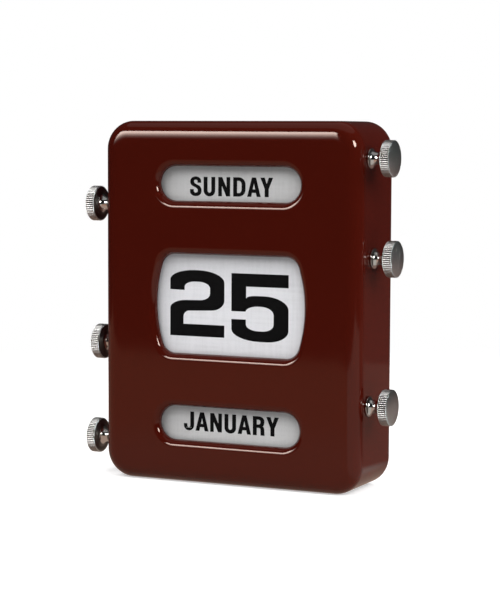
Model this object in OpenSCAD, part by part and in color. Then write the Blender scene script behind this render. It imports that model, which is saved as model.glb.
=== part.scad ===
// Perpetual desk calendar. Three printed bands, for the day, the date and the month, wind
// between pairs of rollers behind the windows of a drawn steel case, and a knurled knob turns
// each roller: the upper rollers have theirs on the right, the lower ones on the left.
// X is the width, Y the depth with the front at negative Y, and Z the height. The origin is
// under the middle of the case, on the surface that it stands on.

/* [Case] */
// Width of the case, without the knobs
case_w = 112.8; // [106:0.2:125]
// Depth of the case
case_d = 34; // [31:0.1:42]
// Thickness of the case's sheet steel
case_wall = 1; // [0.8:0.05:1.3]
// Radius of the case's corners, seen from the front
corner_r = 11.5; // [9:0.1:14]
// Radius of the rounded edge round the front
edge_r = 6; // [4:0.1:7.5]
// Height of the case above the day window
above_windows = 18.1; // [17.5:0.1:24]
// Height of the case below the month window
below_windows = 17.3; // [17:0.1:24]

/* [Windows] */
// Width of the day and month windows
small_window_w = 61.5; // [50:0.5:66]
// Height of the day and month windows
small_window_h = 13.8; // [12:0.1:15]
// Width of the date window at its middle
date_window_w = 65.2; // [54:0.2:68]
// Height of the date window
date_window_h = 40; // [36:0.5:46]
// Height of the case between two windows
window_gap = 21.5; // [20.5:0.1:28]
// Radius of the date window's corners
date_corner_r = 6; // [4:0.1:9]
// Radius of the date window's bowed sides
date_side_r = 52; // [45:1:90]
// Radius, and so the depth, of the rims rolled in round the windows
rim_r = 3; // [2.2:0.1:3.2]

/* [Bands] */
// Thickness of the band
band_t = 0.3; // [0.2:0.02:0.36]
// Distance from the edge of a band to the cheek beside it
band_side = 8; // [6:0.1:10]
// Distance from the front of the case to the day and month bands
small_band_depth = 4.2; // [4.15:0.01:4.5]
// Distance from the front of the case to the date band
date_band_depth = 3.5; // [3.35:0.01:3.55]
// Height of band that a window's rim hides above and below it
band_margin = 1.6; // [1:0.1:2]
// Way that the date band can wind up or down from a date that stands in its window
date_band_way = 9; // [6:0.1:9.2]
// Room that is left between the flat run of a band and the ends of the case
band_air = 1.3; // [1:0.1:3]

/* [Rollers] */
// Distance from the front of the case to the day and month shafts
small_shaft_depth = 10.7; // [9.5:0.1:11.4]
// Distance from the front of the case to the date shafts
date_shaft_depth = 14.6; // [12.5:0.1:15.6]
// Distance between the two rollers of the day or the month
small_roller_gap = 19.5; // [17:0.1:22]
// Distance between the two rollers of the date
date_roller_gap = 38.2; // [34:0.1:40]
// Height of a pair of rollers above the middle of its window
roller_rise = 0.8; // [-1:0.1:1.5]
// Radius of the shafts
shaft_r = 2.25; // [1.9:0.05:2.5]
// Length of shaft that stands out of the cheek at the knob's end
shaft_out = 4; // [2.5:0.1:5]
// Radius of the cores of the day and month rollers
small_core_r = 4; // [3.4:0.1:4.3]
// Radius of the cores of the date rollers
date_core_r = 5.5; // [4.5:0.1:7]
// Height of the spring washer that brakes a roller
washer_h = 0.9; // [0.7:0.05:1.4]
// Thickness of the spring washer
washer_t = 0.3; // [0.2:0.02:0.4]

/* [Frame] */
// Room between each cheek and the side of the case
side_room = 8.5; // [7.5:0.1:10]
// Thickness of the cheeks' sheet steel
cheek_t = 1; // [0.8:0.05:1.5]
// Distance from the front of the case to the cheeks
cheek_depth = 6; // [5.5:0.1:6.5]
// Distance from the top and the base of the case to the cheeks
cheek_end = 5; // [4:0.1:9]
// Width of the flange that joins a cheek to the back cover
flange_w = 8; // [7:0.1:10]
// Radius of the bushes in the cheeks
bush_r = 3.4; // [3.1:0.05:4]
// Length of a bush on the outer side of the cheek
bush_out = 1.2; // [0.8:0.1:2]
// Radius of the flange of a bush
bush_flange_r = 4.3; // [4.1:0.05:5]
// Thickness of the flange of a bush
bush_flange_t = 0.8; // [0.5:0.05:1.2]
// Distance between two of the rivets that hold a cheek
rivet_gap = 52; // [40:1:58]
// Radius of the rivets
rivet_r = 1.25; // [1:0.05:1.6]
// Radius of the rivets' heads
rivet_head_r = 2.4; // [2:0.1:3]
// Height of the rivets' heads
rivet_head_h = 0.7; // [0.5:0.05:1]

/* [Back] */
// Thickness of the back cover
cover_t = 1; // [0.8:0.05:1.6]
// Distance that the back cover lies inside the edge of the case
cover_recess = 1.3; // [1.2:0.05:2]
// Height of the back screws above the base, and below the top
screw_end = 19; // [16:0.5:26]
// Radius of the back screws
screw_r = 1.5; // [1.2:0.05:1.7]
// Radius of the back screws' heads
screw_head_r = 2.8; // [2.4:0.05:3.2]
// Height of the back screws' heads
screw_head_h = 1.1; // [0.8:0.05:1.15]
// Length of the back screws under the head
screw_l = 4.5; // [3.5:0.1:6]
// Width of the slots in the back screws' heads
slot_w = 0.7; // [0.5:0.05:0.9]
// Width and height of the lugs that take the back screws
lug_w = 7.5; // [6.5:0.1:8]
// Depth of the lugs along the side of the case
lug_d = 6; // [4:0.1:8]
// Thickness of the lugs
lug_t = 1.2; // [1:0.05:1.6]

/* [Knobs] */
// Radius of the knobs
knob_r = 7.2; // [6.4:0.05:7.8]
// Thickness of the knobs' knurled heads
knob_t = 3.8; // [3:0.1:5]
// Distance from the side of the case to a knob's head
neck_l = 6.4; // [5:0.1:7.4]
// Radius of the neck at its waist
waist_r = 2.5; // [2:0.05:3]
// Radius of the collar at the foot of the neck
collar_r = 4.25; // [3.9:0.05:5]
// Thickness of the collar
collar_t = 0.5; // [0.4:0.05:0.8]
// Radius of the threaded spindle that joins a knob to its shaft
spindle_r = 1.25; // [1:0.05:1.4]
// Length of the spindle inside the shaft
spindle_l = 7; // [5:0.5:9]
// Number of flutes round a knob
flutes = 54; // [40:1:64]
// Depth of the flutes
flute_depth = 0.25; // [0.15:0.01:0.35]
// Width of the chamfers at a knob's two faces
chamfer = 0.4; // [0.2:0.05:0.6]

/* [Clearances] */
// Radial clearance of a shaft in its bush
running_gap = 0.05; // [0.02:0.01:0.08]
// Gap between pieces that slide or turn past each other
moving_gap = 0.15; // [0.1:0.01:0.2]
// Gap round a piece that is fitted in a hole
fitted_gap = 0.02; // [0.01:0.005:0.03]
// Gap between the back cover and the case round it
cover_gap = 0.15; // [0.1:0.01:0.3]
// Gap round a spindle in the side of the case
spindle_gap = 0.8; // [0.5:0.05:1.2]
// Gap between a knob's collar and the side of the case
collar_gap = 0.25; // [0.2:0.01:0.35]

/* [Hidden] */
$fn = 64;

// A cut runs past the faces that it opens by this much
cut = 1;

// Middles of the windows, and the height of the case, added up from the base
month_z = below_windows + small_window_h / 2;
date_z = month_z + small_window_h / 2 + window_gap + date_window_h / 2;
day_z = date_z + date_window_h / 2 + window_gap + small_window_h / 2;
case_h = day_z + small_window_h / 2 + above_windows;

// Depths and widths of the inner frame
front_y = -case_d / 2;
cover_y = case_d / 2 - cover_recess - cover_t;
inner_x = case_w / 2 - case_wall;
cheek_x = inner_x - side_room - cheek_t;
bush_face_x = cheek_x - bush_flange_t;
screw_x = inner_x - lug_w / 2;
rivet_x = cheek_x - flange_w / 2;
band_w = 2 * (cheek_x - band_side);

// The flat run of the day or month band goes one legend up, as far as the case leaves it room
small_band_way = below_windows - case_wall - band_air - band_margin;

// The band's corner circles and bowed sides meet in the direction side_angle
date_corner_z = date_window_h / 2 - date_corner_r;
side_angle = asin(date_corner_z / (date_side_r - date_corner_r));
side_centre_x = date_window_w / 2 - date_side_r;
date_corner_x = side_centre_x + (date_side_r - date_corner_r) * cos(side_angle);

// A roller is [height, depth of its shaft, radius of its core, radius of its wound band,
// side of its knob]
function small_roller(z, side) = [
    z + roller_rise + side * small_roller_gap / 2, small_shaft_depth, small_core_r,
    small_shaft_depth - small_band_depth - band_t - moving_gap, side];
function date_roller(side) = [
    date_z + roller_rise + side * date_roller_gap / 2, date_shaft_depth, date_core_r,
    date_shaft_depth - date_band_depth - band_t - moving_gap, side];
day_upper = small_roller(day_z, 1);
day_lower = small_roller(day_z, -1);
date_upper = date_roller(1);
date_lower = date_roller(-1);
month_upper = small_roller(month_z, 1);
month_lower = small_roller(month_z, -1);
ROLLERS = [day_upper, day_lower, date_upper, date_lower, month_upper, month_lower];

// Stands a drawing in X and Z at a distance behind the front of the case
module behind_front(depth) {
    translate([0, front_y + depth, 0])
        rotate([90, 0, 0])
            mirror([0, 0, 1])
                children();
}

// Lays a piece that is drawn along Z on a roller's axis, with Z towards the knob
module on_axis(roller) {
    translate([0, front_y + roller[1], roller[0]])
        rotate([0, 90 * roller[4], 0])
            children();
}

// A slice of a disc
module sector(r, from, to) {
    intersection() {
        circle(r);
        polygon([[0, 0], 2 * r * [cos(from), sin(from)], 2 * r * [cos(to), sin(to)]]);
    }
}

// The case in section from a corner's centre outwards, without its hollow
module solid_section(r, rounding, depth) {
    square([r - rounding, rounding]);
    translate([0, rounding])
        square([r, depth - rounding]);
    translate([r - rounding, rounding])
        sector(rounding, -90, 0);
}

module case_section() {
    difference() {
        solid_section(corner_r, edge_r, case_d);
        translate([0, case_wall])
            solid_section(corner_r - case_wall, edge_r - case_wall, case_d);
    }
}

module case_shell() {
    flat_w = case_w - 2 * corner_r;
    flat_h = case_h - 2 * corner_r;
    behind_front(0)
        translate([0, case_h / 2, 0]) {
            translate([-flat_w / 2, -flat_h / 2, 0])
                cube([flat_w, flat_h, case_wall]);
            for (side = [0 : 3]) {
                across = side % 2 == 0 ? flat_w : flat_h;
                along = side % 2 == 0 ? flat_h : flat_w;
                rotate(90 * side)
                    translate([across / 2, along / 2, 0]) {
                        rotate([90, 0, 0])
                            linear_extrude(along)
                                case_section();
                        rotate_extrude(angle = 90)
                            case_section();
                    }
            }
        }
}

// The rim in section, from the edge of the opening outwards
module rim_section() {
    translate([rim_r, rim_r])
        difference() {
            sector(rim_r, 180, 270);
            circle(rim_r - case_wall);
        }
}

// A straight length of rim above an opening's middle
module straight_rim(length, distance) {
    translate([-length / 2, distance, 0])
        rotate([90, 0, 90])
            linear_extrude(length)
                rim_section();
}

// A round length of rim, about the middle of its curve
module round_rim(r, from, to) {
    rotate(from)
        rotate_extrude(angle = to - from)
            translate([r, 0])
                rim_section();
}

// The hole in the front for a day or month window and its rim
module small_hole() {
    r = small_window_h / 2 + rim_r;
    flat = small_window_w - small_window_h;
    square([flat, 2 * r], center = true);
    for (end = [0, 180])
        rotate(end)
            translate([flat / 2, 0])
                for (half = [-90, 0])
                    sector(r, half, half + 90);
}

module small_rim() {
    flat = small_window_w - small_window_h;
    for (end = [0, 180])
        rotate(end) {
            translate([flat / 2, 0, 0])
                round_rim(small_window_h / 2, -90, 90);
            straight_rim(flat, small_window_h / 2);
        }
}

// The hole in the front for the date window and its rim
module date_hole() {
    square([2 * date_corner_x, date_window_h + 2 * rim_r], center = true);
    for (left = [0, 1])
        mirror([left, 0]) {
            translate([side_centre_x, 0])
                sector(date_side_r + rim_r, -side_angle, side_angle);
            for (low = [0, 1])
                mirror([0, low])
                    translate([date_corner_x, date_corner_z])
                        sector(date_corner_r + rim_r, side_angle, 90);
        }
}

module date_rim() {
    for (left = [0, 1])
        mirror([left, 0, 0]) {
            translate([side_centre_x, 0, 0])
                round_rim(date_side_r, -side_angle, side_angle);
            for (low = [0, 1])
                mirror([0, low, 0])
                    translate([date_corner_x, date_corner_z, 0])
                        round_rim(date_corner_r, side_angle, 90);
        }
    for (low = [0, 1])
        mirror([0, low, 0])
            straight_rim(2 * date_corner_x, date_window_h / 2);
}

module front_case() {
    color("#4a130d") {
        difference() {
            case_shell();
            for (z = [day_z, month_z])
                behind_front(-cut)
                    translate([0, z, 0])
                        linear_extrude(case_wall + 2 * cut)
                            small_hole();
            behind_front(-cut)
                translate([0, date_z, 0])
                    linear_extrude(case_wall + 2 * cut)
                        date_hole();
            for (roller = ROLLERS)
                on_axis(roller)
                    translate([0, 0, inner_x - cut])
                        cylinder(h = case_wall + 2 * cut, r = spindle_r + spindle_gap);
        }
        for (z = [day_z, month_z])
            behind_front(0)
                translate([0, z, 0])
                    small_rim();
        behind_front(0)
            translate([0, date_z, 0])
                date_rim();
    }
}

// Repeats a piece at the four back screws
module at_screws() {
    for (side = [-1, 1])
        for (z = [screw_end, case_h - screw_end])
            translate([side * screw_x, cover_y, z])
                rotate([-90, 0, 0])
                    children();
}

// Repeats a piece at the rivets of both cheeks
module at_rivets() {
    for (side = [-1, 1])
        for (place = [-1 : 1])
            translate([side * rivet_x, cover_y, case_h / 2 + place * rivet_gap])
                rotate([-90, 0, 0])
                    children();
}

module back_cover() {
    inset = case_wall + cover_gap;
    r = corner_r - inset;
    color("#3c120d")
        difference() {
            behind_front(cover_y - front_y)
                translate([0, case_h / 2, 0]) {
                    translate([-case_w / 2 + inset, -case_h / 2 + corner_r, 0])
                        cube([case_w - 2 * inset, case_h - 2 * corner_r, cover_t]);
                    translate([-case_w / 2 + corner_r, -case_h / 2 + inset, 0])
                        cube([case_w - 2 * corner_r, case_h - 2 * inset, cover_t]);
                    for (side = [-1, 1])
                        for (end = [-1, 1])
                            translate([side * (case_w / 2 - corner_r), end * (case_h / 2 - corner_r), 0])
                                cylinder(h = cover_t, r = r);
                }
            at_screws()
                translate([0, 0, -cut])
                    cylinder(h = cover_t + 2 * cut, r = screw_r + fitted_gap);
            at_rivets()
                translate([0, 0, -cut])
                    cylinder(h = cover_t + 2 * cut, r = rivet_r + fitted_gap);
        }
}

// The lugs are folded from sheet: one leg lies on the side of the case, one behind the cover
module corner_lugs() {
    color("silver")
        difference() {
            for (side = [0, 1])
                mirror([side, 0, 0])
                    for (z = [screw_end, case_h - screw_end]) {
                        translate([inner_x - lug_w, cover_y - lug_t, z - lug_w / 2])
                            cube([lug_w, lug_t, lug_w]);
                        translate([inner_x - lug_t, cover_y - lug_d, z - lug_w / 2])
                            cube([lug_t, lug_d, lug_w]);
                    }
            at_screws()
                translate([0, 0, -lug_t - cut])
                    cylinder(h = lug_t + 2 * cut, r = screw_r + fitted_gap);
        }
}

module back_screws() {
    color("silver")
        at_screws() {
            translate([0, 0, cover_t - screw_l])
                cylinder(h = screw_l, r = screw_r);
            translate([0, 0, cover_t])
                difference() {
                    cylinder(h = screw_head_h, r1 = screw_head_r, r2 = screw_head_r - screw_head_h / 3);
                    translate([-screw_head_r, -slot_w / 2, screw_head_h / 2])
                        cube([2 * screw_head_r, slot_w, screw_head_h]);
                }
        }
}

// The right cheek; the left one is its mirror image
module cheek() {
    depth = cover_y - front_y - cheek_depth;
    height = case_h - 2 * cheek_end;
    color("darkgray")
        difference() {
            union() {
                translate([cheek_x, front_y + cheek_depth, cheek_end])
                    cube([cheek_t, depth, height]);
                translate([cheek_x - flange_w, cover_y - cheek_t, cheek_end])
                    cube([flange_w, cheek_t, height]);
            }
            for (roller = ROLLERS)
                translate([cheek_x - cut, front_y + roller[1], roller[0]])
                    rotate([0, 90, 0])
                        cylinder(h = cheek_t + 2 * cut, r = bush_r + fitted_gap);
            at_rivets()
                translate([0, 0, -cheek_t - cut])
                    cylinder(h = cheek_t + 2 * cut, r = rivet_r + fitted_gap);
        }
}

module right_cheek() {
    cheek();
}

module left_cheek() {
    mirror([1, 0, 0])
        cheek();
}

// A rivet has a set head on the flange of the cheek and a made head on the cover
module cheek_rivets() {
    color("silver")
        at_rivets() {
            translate([0, 0, -cheek_t - rivet_head_h])
                cylinder(h = rivet_head_h, r = rivet_head_r);
            translate([0, 0, -cheek_t])
                cylinder(h = cheek_t + cover_t, r = rivet_r);
            translate([0, 0, cover_t])
                cylinder(h = rivet_head_h, r1 = rivet_head_r, r2 = rivet_r);
        }
}

// The bushes of the right cheek; those of the left cheek are their mirror image
module bushes() {
    color("goldenrod")
        for (roller = ROLLERS)
            translate([bush_face_x, front_y + roller[1], roller[0]])
                rotate([0, 90, 0])
                    difference() {
                        union() {
                            cylinder(h = bush_flange_t, r = bush_flange_r);
                            cylinder(h = bush_flange_t + cheek_t + bush_out, r = bush_r);
                        }
                        translate([0, 0, -cut])
                            cylinder(h = bush_flange_t + cheek_t + bush_out + 2 * cut,
                                r = shaft_r + running_gap);
                    }
}

module right_bushes() {
    bushes();
}

module left_bushes() {
    mirror([1, 0, 0])
        bushes();
}

// The flat run of a band, between two heights
module band_run(depth, low, high) {
    color("ivory")
        translate([-band_w / 2, front_y + depth, low])
            cube([band_w, band_t, high - low]);
}

// The run of a day or month band reaches down to the end of the next legend
module small_band(z) {
    half = small_window_h / 2 + band_margin;
    band_run(small_band_depth, z - half - small_band_way, z + half);
}

module day_band() {
    small_band(day_z);
}

module month_band() {
    small_band(month_z);
}

module date_band() {
    half = date_window_h / 2 + band_margin / 2 + date_band_way;
    band_run(date_band_depth, date_z - half, date_z + half);
}

// A shaft runs from the far bush to the knob's spindle, which its tapped end takes
module shaft(roller) {
    far = cheek_x + cheek_t + bush_out + shaft_out / 2;
    near = cheek_x + cheek_t + shaft_out;
    color("lightgray")
        on_axis(roller)
            difference() {
                translate([0, 0, -far])
                    cylinder(h = far + near, r = shaft_r);
                translate([0, 0, near - spindle_l])
                    cylinder(h = spindle_l + cut, r = spindle_r + fitted_gap);
            }
}

// The core lies against the far bush, and leaves room for the washer at the knob's end
core_far = bush_face_x - moving_gap;
core_near = core_far - washer_h;

module core(roller) {
    color("gainsboro")
        on_axis(roller)
            translate([0, 0, -core_far])
                difference() {
                    cylinder(h = core_far + core_near, r = roller[2]);
                    translate([0, 0, -cut])
                        cylinder(h = core_far + core_near + 2 * cut, r = shaft_r + fitted_gap);
                }
}

// The part of the band that is wound on a core
module roll(roller) {
    color("ivory")
        on_axis(roller)
            translate([0, 0, -band_w / 2])
                difference() {
                    cylinder(h = band_w, r = roller[3]);
                    translate([0, 0, -cut])
                        cylinder(h = band_w + 2 * cut, r = roller[2] + fitted_gap);
                }
}

// A dished washer presses the core away from the knob's end
module washer(roller) {
    inner = shaft_r + running_gap;
    outer = bush_flange_r;
    color("gray")
        on_axis(roller)
            translate([0, 0, core_near])
                rotate_extrude()
                    polygon([[inner, washer_h - washer_t], [inner, washer_h], [outer, washer_t],
                        [outer, 0]]);
}

// The neck between the collar and the head, hollowed by a circle that bears on its waist
module neck_section(length) {
    hollow_r = 0.55 * length;
    difference() {
        square([collar_r, length]);
        translate([waist_r + hollow_r, length / 2])
            circle(hollow_r);
    }
}

// Points round a fluted disc: each flute goes in and out once
function fluted(r, count) = [for (step = [0 : 2 * count - 1])
    (r - (step % 2) * flute_depth) * [cos(180 * step / count), sin(180 * step / count)]];

// The chamfered rims of a knob's head lie just inside the bottoms of its flutes
module knob(roller) {
    foot = cheek_x + cheek_t + shaft_out - spindle_l;
    rim = knob_r - 1.4 * flute_depth;
    color("whitesmoke")
        on_axis(roller) {
            translate([0, 0, foot])
                cylinder(h = case_w / 2 + collar_gap - foot, r = spindle_r);
            translate([0, 0, case_w / 2 + collar_gap])
                cylinder(h = collar_t, r = collar_r);
            translate([0, 0, case_w / 2 + collar_gap + collar_t])
                rotate_extrude()
                    neck_section(neck_l - collar_gap - collar_t);
            translate([0, 0, case_w / 2 + neck_l]) {
                cylinder(h = chamfer, r1 = rim - chamfer, r2 = rim);
                translate([0, 0, chamfer])
                    linear_extrude(knob_t - 2 * chamfer)
                        polygon(fluted(knob_r, flutes));
                translate([0, 0, knob_t - chamfer])
                    cylinder(h = chamfer, r1 = rim, r2 = rim - chamfer);
            }
        }
}

front_case();
back_cover();
corner_lugs();
back_screws();
left_cheek();
right_cheek();
cheek_rivets();
left_bushes();
right_bushes();
day_band();
date_band();
month_band();
shaft(day_upper);  // day_upper_shaft
core(day_upper);  // day_upper_core
roll(day_upper);  // day_upper_roll
washer(day_upper);  // day_upper_washer
knob(day_upper);  // day_upper_knob
shaft(day_lower);  // day_lower_shaft
core(day_lower);  // day_lower_core
roll(day_lower);  // day_lower_roll
washer(day_lower);  // day_lower_washer
knob(day_lower);  // day_lower_knob
shaft(date_upper);  // date_upper_shaft
core(date_upper);  // date_upper_core
roll(date_upper);  // date_upper_roll
washer(date_upper);  // date_upper_washer
knob(date_upper);  // date_upper_knob
shaft(date_lower);  // date_lower_shaft
core(date_lower);  // date_lower_core
roll(date_lower);  // date_lower_roll
washer(date_lower);  // date_lower_washer
knob(date_lower);  // date_lower_knob
shaft(month_upper);  // month_upper_shaft
core(month_upper);  // month_upper_core
roll(month_upper);  // month_upper_roll
washer(month_upper);  // month_upper_washer
knob(month_upper);  // month_upper_knob
shaft(month_lower);  // month_lower_shaft
core(month_lower);  // month_lower_core
roll(month_lower);  // month_lower_roll
washer(month_lower);  // month_lower_washer
knob(month_lower);  // month_lower_knob
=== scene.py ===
"""The perpetual desk calendar, dressed: enamelled case, printed cloth bands, nickelled knobs.

Lengths are in millimetres up to the point where a mesh or a lamp is made. X is the width, Y the
depth with the front at negative Y, and Z the height.
"""
import math

import bpy
import bmesh
from mathutils import Matrix, Vector
from mathutils.geometry import delaunay_2d_cdt


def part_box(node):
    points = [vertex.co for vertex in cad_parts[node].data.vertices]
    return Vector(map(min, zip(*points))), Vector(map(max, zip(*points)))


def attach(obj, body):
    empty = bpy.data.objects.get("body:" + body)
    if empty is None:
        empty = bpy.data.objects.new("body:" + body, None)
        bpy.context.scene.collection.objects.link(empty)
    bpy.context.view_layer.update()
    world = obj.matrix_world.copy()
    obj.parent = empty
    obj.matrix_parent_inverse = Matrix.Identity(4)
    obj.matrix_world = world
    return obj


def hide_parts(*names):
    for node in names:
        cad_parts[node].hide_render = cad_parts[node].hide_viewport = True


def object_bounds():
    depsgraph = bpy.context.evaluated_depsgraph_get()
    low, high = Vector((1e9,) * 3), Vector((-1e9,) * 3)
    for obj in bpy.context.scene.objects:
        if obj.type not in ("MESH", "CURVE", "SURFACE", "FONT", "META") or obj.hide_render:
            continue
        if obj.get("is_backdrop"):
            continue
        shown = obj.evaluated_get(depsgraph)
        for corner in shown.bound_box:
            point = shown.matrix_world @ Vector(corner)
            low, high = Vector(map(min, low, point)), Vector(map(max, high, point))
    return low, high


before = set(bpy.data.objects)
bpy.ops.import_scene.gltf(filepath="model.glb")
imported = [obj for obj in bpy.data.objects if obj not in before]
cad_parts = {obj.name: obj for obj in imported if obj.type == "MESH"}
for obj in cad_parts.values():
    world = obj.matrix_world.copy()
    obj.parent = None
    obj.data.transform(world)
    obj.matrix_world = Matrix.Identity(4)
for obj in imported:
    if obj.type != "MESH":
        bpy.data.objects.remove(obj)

MM = 0.001
cad_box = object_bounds()


def box_mm(node):
    """Lowest and highest corner of a CAD node, in millimetres."""
    low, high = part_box(node)
    return low / MM, high / MM


# ---------------------------------------------------------------- sizes

case_low, case_high = box_mm("front_case")
case_w = case_high.x - case_low.x
case_h = case_high.z - case_low.z
case_d = case_high.y - case_low.y
front_y = case_low.y
case_wall = 1.0
corner_r = 11.5
edge_r = 6.0
sheet_edge_r = 0.25

# The drawn edge ends this much further in than a plain round, with most of that extra bend
# within this angle of the front
edge_ease = 2.9
edge_ease_angle = 3.0

small_window_w = 61.5
small_window_h = 13.8
date_window_w = 65.2
date_window_h = 40.0
date_corner_r = 6.0
date_side_r = 52.0
rim_r = 3.0
rim_edge_r = 0.2

# Heights of the windows' middles
month_z = 24.2
date_z = 72.6
day_z = 121.0

# Centres of the date window's round corners and bowed sides, from its middle. A side ends and a
# corner starts at the side angle.
date_corner_z = date_window_h / 2 - date_corner_r
side_angle = math.asin(date_corner_z / (date_side_r - date_corner_r))
side_centre_x = date_window_w / 2 - date_side_r
date_corner_x = side_centre_x + (date_side_r - date_corner_r) * math.cos(side_angle)

# Each knob is (its roller, the side of the case that it stands on)
KNOBS = [(f"{band}_{place}", side) for band in ("day", "date", "month")
         for place, side in (("upper", 1), ("lower", -1))]
spindle_hole_r = 2.05
spindle_hole_edge_r = 0.15

# Steps in the round stretches
corner_steps = 24
fillet_steps = 14
eased_steps = 48
edge_steps = 3
window_end_steps = 36
date_corner_steps = 16
date_side_steps = 14
rim_steps = 12
hole_steps = 32


# ---------------------------------------------------------------- mesh tools

class Plane:
    """A drawing plane: u and v lie in it, and w is the depth behind it."""

    def __init__(self, origin, u, v, w):
        self.origin, self.u, self.v, self.w = (Vector(item) for item in (origin, u, v, w))

    def point(self, u, v, w=0.0):
        """The place in space of a point of the drawing."""
        return self.origin + self.u * u + self.v * v + self.w * w

    def turn(self, u, v, w):
        """The direction in space of one of the drawing's."""
        return self.u * u + self.v * v + self.w * w


FRONT = Plane((0, front_y, 0), (1, 0, 0), (0, 0, 1), (0, 1, 0))


class Skin:
    """Faces whose corners carry their exact normals. Points that fall together are one."""

    # The cells in which points are one, and a shift that keeps round values off their borders
    weld = 0.002
    weld_shift = 0.31

    def __init__(self):
        self.points, self.known = [], {}
        self.faces, self.normals, self.slots = [], [], []

    def vertex(self, point):
        key = tuple(math.floor(part / self.weld + self.weld_shift) for part in point)
        if key not in self.known:
            self.known[key] = len(self.points)
            self.points.append(point)
        return self.known[key]

    def face(self, points, normals, slot=0):
        corners, kept = [], []
        for point, normal in zip(points, normals):
            number = self.vertex(point)
            if number not in corners:
                corners.append(number)
                kept.append(normal)
        if len(corners) < 3:
            return
        ring = [self.points[number] for number in corners]
        facing = sum(((ring[k] - ring[0]).cross(ring[k + 1] - ring[0])
                      for k in range(1, len(ring) - 1)), Vector())
        if facing.dot(sum(kept, Vector())) < 0:
            corners.reverse()
            kept.reverse()
        self.faces.append(corners)
        self.normals.extend(kept)
        self.slots.append(slot)

    def sweep(self, plane, stations, profile, skip=None, slot=0):
        """A profile of (out, depth, normal out, normal depth) rows, led round an outline."""
        count = len(stations)
        for k in range(count):
            pair = (stations[k], stations[(k + 1) % count])
            for row in range(len(profile) - 1):
                if skip and skip(k, row):
                    continue
                points, normals = [], []
                for station, line in ((pair[0], row), (pair[1], row), (pair[1], row + 1),
                                      (pair[0], row + 1)):
                    out, depth, normal_out, normal_depth = profile[line]
                    u, v = station.at(out)
                    points.append(plane.point(u, v, depth))
                    normals.append(plane.turn(normal_out * math.cos(station.angle),
                                              normal_out * math.sin(station.angle),
                                              normal_depth).normalized())
                self.face(points, normals, slot)

    def panel(self, plane, loops, depth, facing, inked=()):
        """The flat face inside the first loop and outside the others. Inked loops are printed."""
        normal = plane.w * facing
        for triangle, middle in triangles(list(loops) + list(inked)):
            if odd_inside(loops, middle):
                slot = 1 if odd_inside(inked, middle) else 0
                self.face([plane.point(u, v, depth) for u, v in triangle], [normal] * 3, slot)

    def thicken(self, plane, thickness):
        """Closes the one flat face that was made so far into a plate of that thickness."""
        edges = {pair for ring in self.faces for pair in zip(ring, ring[1:] + ring[:1])}
        after = {start: end for start, end in edges if (end, start) not in edges}
        start = next(iter(after))
        ring = [start]
        while after[ring[-1]] != start:
            ring.append(after[ring[-1]])
        front = [self.points[number] for number in ring]
        back = [point + plane.w * thickness for point in front]
        for k in range(len(ring)):
            first, second = front[k - 1], front[k]
            normal = (second - first).cross(self.normals[0]).normalized()
            self.face([first, second, back[k], back[k - 1]], [normal] * 4)
        self.face(back, [-self.normals[0]] * len(ring))

    def make(self, name, materials):
        mesh = bpy.data.meshes.new(name)
        mesh.from_pydata([point * MM for point in self.points], [], self.faces)
        for material in materials:
            mesh.materials.append(material)
        mesh.polygons.foreach_set("material_index", self.slots)
        mesh.polygons.foreach_set("use_smooth", [True] * len(self.faces))
        mesh.update()
        mesh.normals_split_custom_set(self.normals)
        return link(bpy.data.objects.new(name, mesh))


class Station:
    """A place on an outline: a direction from a centre, and the outline's radius there."""

    def __init__(self, u, v, radius, angle):
        self.u, self.v, self.radius, self.angle = u, v, radius, angle

    def at(self, out):
        reach = self.radius + out
        return self.u + reach * math.cos(self.angle), self.v + reach * math.sin(self.angle)


def link(item):
    """Puts an object into the scene."""
    bpy.context.scene.collection.objects.link(item)
    return item


def arc(u, v, radius, start, end, steps):
    """Stations along an arc, with angles in radians."""
    return [Station(u, v, radius, start + (end - start) * k / steps) for k in range(steps + 1)]


def rounded_box(width, height, radius, v):
    """Stations round a box with round corners and its middle at (0, v), anticlockwise."""
    stations = []
    for turn, (right, up) in enumerate(((1, 1), (-1, 1), (-1, -1), (1, -1))):
        start = turn * math.pi / 2
        stations += arc(right * (width / 2 - radius), v + up * (height / 2 - radius), radius,
                        start, start + math.pi / 2, corner_steps)
    return stations


def circle(u, v, radius):
    """Stations round a spindle's hole."""
    return arc(u, v, radius, 0, 2 * math.pi * (1 - 1 / hole_steps), hole_steps - 1)


def loop(stations, out=0.0):
    """The points of an outline, or of one that lies that much further out."""
    return [station.at(out) for station in stations]


def quarter(centre_out, centre_depth, radius, start, end, steps, side=1):
    """Rows of a profile along an arc: angle 0 points outward, and a right angle backward."""
    rows = []
    for k in range(steps + 1):
        angle = math.radians(start + (end - start) * k / steps)
        out, depth = math.cos(angle), math.sin(angle)
        rows.append((centre_out + radius * out, centre_depth + radius * depth,
                     side * out, side * depth))
    return rows


def triangles(loops):
    """Triangles that keep every edge of the loops, each with its middle."""
    keep_all, same_point = 0, 1e-6
    points, edges = [], []
    for outline in loops:
        first = len(points)
        points += [Vector(point) for point in outline]
        edges += [(first + k, first + (k + 1) % len(outline)) for k in range(len(outline))]
    corners, _, faces, *_ = delaunay_2d_cdt(points, edges, [], keep_all, same_point)
    for face in faces:
        triangle = [tuple(corners[k]) for k in face]
        middle = tuple(sum(point[axis] for point in triangle) / 3 for axis in (0, 1))
        yield triangle, middle


def odd_inside(loops, point):
    """True if the point is inside an odd number of the loops."""
    inside = False
    u, v = point
    for outline in loops:
        for (u0, v0), (u1, v1) in zip(outline, outline[1:] + outline[:1]):
            if (v0 > v) != (v1 > v) and u < u0 + (u1 - u0) * (v - v0) / (v1 - v0):
                inside = not inside
    return inside


# ---------------------------------------------------------------- materials

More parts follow.
